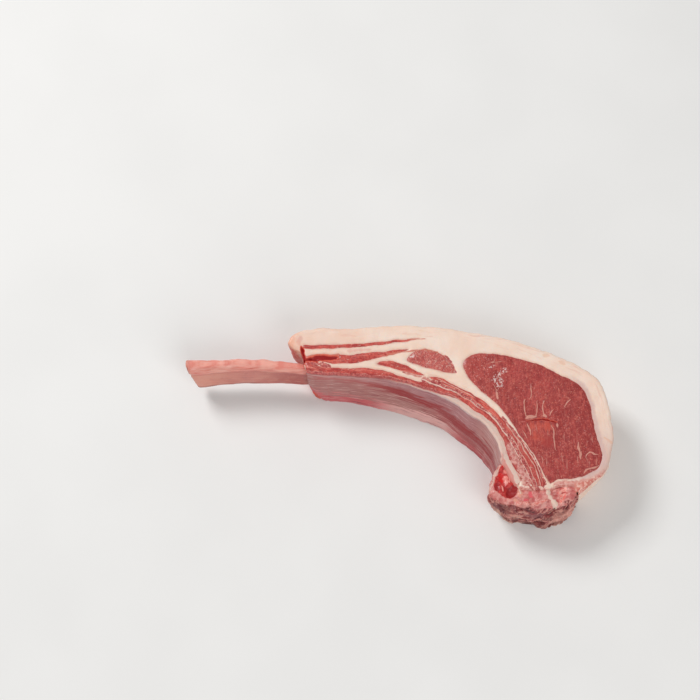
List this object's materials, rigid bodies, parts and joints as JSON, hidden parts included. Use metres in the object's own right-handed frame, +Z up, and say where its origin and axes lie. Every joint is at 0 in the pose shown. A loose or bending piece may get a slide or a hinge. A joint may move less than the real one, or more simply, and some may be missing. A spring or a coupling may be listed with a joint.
{
  "type": "lamb rib chop",
  "caption": "Raw lamb rib chop, one slice with its loin eye, side muscles and cap of fat, and a long bare rib that ends at the sawn backbone.",
  "frame": {"origin": "on the surface that the chop lies on, under the middle of its outline", "axes": "+X along the chop, from the bare rib end to the loin end; +Y from the hollow rib side to the fat side; +Z up, out of the upper cut face"},
  "size_m": [0.1826, 0.0847, 0.0223],
  "materials": {
    "fat": "satin, waxy",
    "lean_meat": "moist, fine grain",
    "pale_lean_meat": "moist, coarse grain",
    "membrane": "wet, smooth",
    "rib_bone": "moist, smooth",
    "sawn_bone": "moist, rough"
  },
  "bodies": {
    "root": {"fat_cap": "fat", "eye_muscle": "lean_meat", "cap_muscle": "pale_lean_meat", "leaf_muscle": "pale_lean_meat", "streak_muscle": "pale_lean_meat", "flap_muscle": "pale_lean_meat", "side_muscle": "pale_lean_meat", "rib_muscle": "pale_lean_meat", "under_rib_muscle": "pale_lean_meat", "inner_membrane": "membrane", "rib_bone": "rib_bone", "chine_bone": "sawn_bone"}
  },
  "joints": []
}
